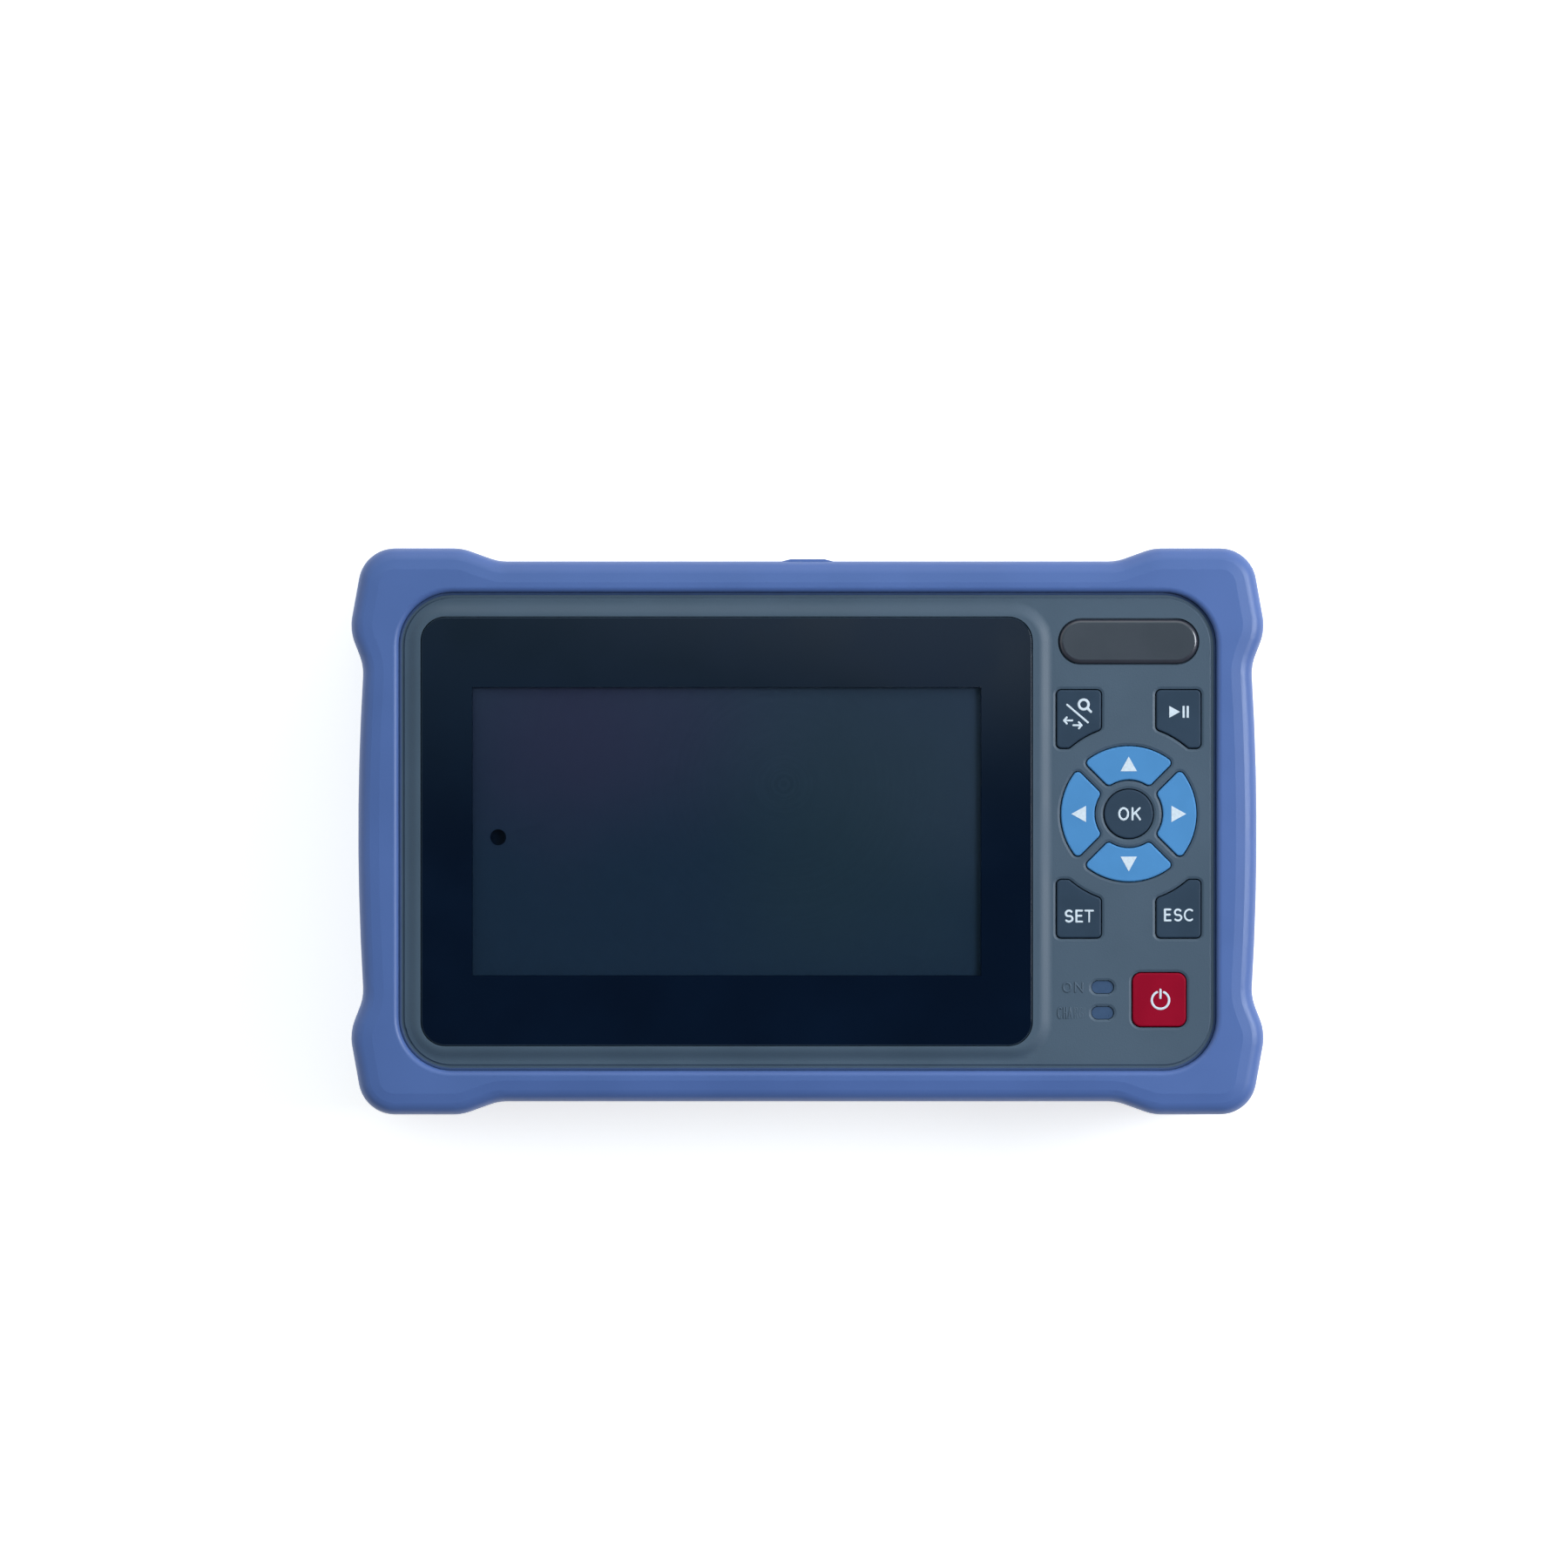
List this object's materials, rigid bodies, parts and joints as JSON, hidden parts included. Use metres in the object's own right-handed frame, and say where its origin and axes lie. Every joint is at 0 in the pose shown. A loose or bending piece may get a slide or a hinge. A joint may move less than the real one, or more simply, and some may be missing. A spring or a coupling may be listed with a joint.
{
  "type": "optical time domain reflectometer",
  "caption": "Handheld fibre-optic test instrument in a rubber boot, with a glass display, a keypad, ports behind a hinged door and a fold-out stand.",
  "frame": {"origin": "middle of the footprint, on the table that the back rests on", "axes": "+X along the display to the keypad, +Y towards the side with the ports, +Z out of the display"},
  "size_m": [0.1706, 0.1058, 0.0453],
  "materials": {
    "boot_rubber": "satin moulded elastomer",
    "housing_grey": "fine moulded texture",
    "front_glass": "polished, black printed border",
    "display_panel": "dark display panel",
    "display_haze": "antiglare film",
    "foam": "foam",
    "badge_resin": "domed clear resin over dark plate",
    "lamp_window": "tinted translucent",
    "silicone": "silicone",
    "circuit_board": "solder mask",
    "steel": "plated",
    "flex_film": "amber film",
    "sheet_metal": "stamped",
    "battery_wrap": "shrink wrap",
    "module_case": "machined, anodised",
    "pigtail_jacket": "jacket",
    "bay_plastic": "moulded",
    "adapter_metal": "nickel plated",
    "socket_metal": "plated shell",
    "socket_plastic": "moulded",
    "door_rubber": "satin moulded elastomer",
    "stand_plastic": "fine moulded texture",
    "speaker_metal": "stamped",
    "insert_brass": "knurled",
    "arrow_blue": "satin silicone",
    "key_dark": "satin silicone",
    "key_red": "satin silicone"
  },
  "bodies": {
    "instrument": {"protective_boot": "boot_rubber", "front_housing": "housing_grey", "rear_housing": "housing_grey", "touch_glass": "front_glass", "lcd_module": "display_panel", "display_film": "display_haze", "lcd_pads": "foam", "badge_plate": "badge_resin", "light_guide_on": "lamp_window", "light_guide_charge": "lamp_window", "keypad_mat": "silicone", "key_board": "circuit_board", "key_board_screws": "steel", "key_flex": "flex_film", "main_board": "circuit_board", "board_shield": "sheet_metal", "main_board_screws": "steel", "battery_pack": "battery_wrap", "battery_strap": "sheet_metal", "strap_screws": "steel", "optical_module": "module_case", "module_screws": "steel", "fibre_pigtails": "pigtail_jacket", "port_tray": "bay_plastic", "otdr_adapter": "adapter_metal", "power_meter_adapter": "adapter_metal", "fault_locator_adapter": "adapter_metal", "adapter_screws": "steel", "usb_socket": "socket_metal", "dc_jack": "socket_plastic", "port_board": "circuit_board", "door_pin": "steel", "stand_pins": "steel", "speaker": "speaker_metal", "housing_screws": "steel", "housing_inserts": "insert_brass"},
    "key_up": {"key_up": "arrow_blue"},
    "key_down": {"key_down": "arrow_blue"},
    "key_left": {"key_left": "arrow_blue"},
    "key_right": {"key_right": "arrow_blue"},
    "key_ok": {"key_ok": "key_dark"},
    "key_zoom": {"key_zoom": "key_dark"},
    "key_run": {"key_run": "key_dark"},
    "key_set": {"key_set": "key_dark"},
    "key_esc": {"key_esc": "key_dark"},
    "key_power": {"key_power": "key_red"},
    "port_door": {"port_door": "door_rubber"},
    "kick_stand": {"kick_stand": "stand_plastic"}
  },
  "joints": [
    {"name": "key_up_press", "type": "slide", "parent": "instrument", "child": "key_up", "axis": [0, 0, -1], "range_m": [0, 0.0008], "stiffness_N_per_m": 600},
    {"name": "key_down_press", "type": "slide", "parent": "instrument", "child": "key_down", "axis": [0, 0, -1], "range_m": [0, 0.0008], "stiffness_N_per_m": 600},
    {"name": "key_left_press", "type": "slide", "parent": "instrument", "child": "key_left", "axis": [0, 0, -1], "range_m": [0, 0.0008], "stiffness_N_per_m": 600},
    {"name": "key_right_press", "type": "slide", "parent": "instrument", "child": "key_right", "axis": [0, 0, -1], "range_m": [0, 0.0008], "stiffness_N_per_m": 600},
    {"name": "key_ok_press", "type": "slide", "parent": "instrument", "child": "key_ok", "axis": [0, 0, -1], "range_m": [0, 0.0008], "stiffness_N_per_m": 600},
    {"name": "key_zoom_press", "type": "slide", "parent": "instrument", "child": "key_zoom", "axis": [0, 0, -1], "range_m": [0, 0.0008], "stiffness_N_per_m": 600},
    {"name": "key_run_press", "type": "slide", "parent": "instrument", "child": "key_run", "axis": [0, 0, -1], "range_m": [0, 0.0008], "stiffness_N_per_m": 600},
    {"name": "key_set_press", "type": "slide", "parent": "instrument", "child": "key_set", "axis": [0, 0, -1], "range_m": [0, 0.0008], "stiffness_N_per_m": 600},
    {"name": "key_esc_press", "type": "slide", "parent": "instrument", "child": "key_esc", "axis": [0, 0, -1], "range_m": [0, 0.0008], "stiffness_N_per_m": 600},
    {"name": "key_power_press", "type": "slide", "parent": "instrument", "child": "key_power", "axis": [0, 0, -1], "range_m": [0, 0.0008], "stiffness_N_per_m": 600},
    {"name": "door_hinge", "type": "hinge", "parent": "instrument", "child": "port_door", "pos_m": [0, 0.049, 0.0107], "axis": [-1, 0, 0], "range_deg": [0, 90]},
    {"name": "stand_hinge", "type": "hinge", "parent": "instrument", "child": "kick_stand", "pos_m": [0, 0.022, 0.0049], "axis": [1, 0, 0], "range_deg": [0, 60]}
  ]
}
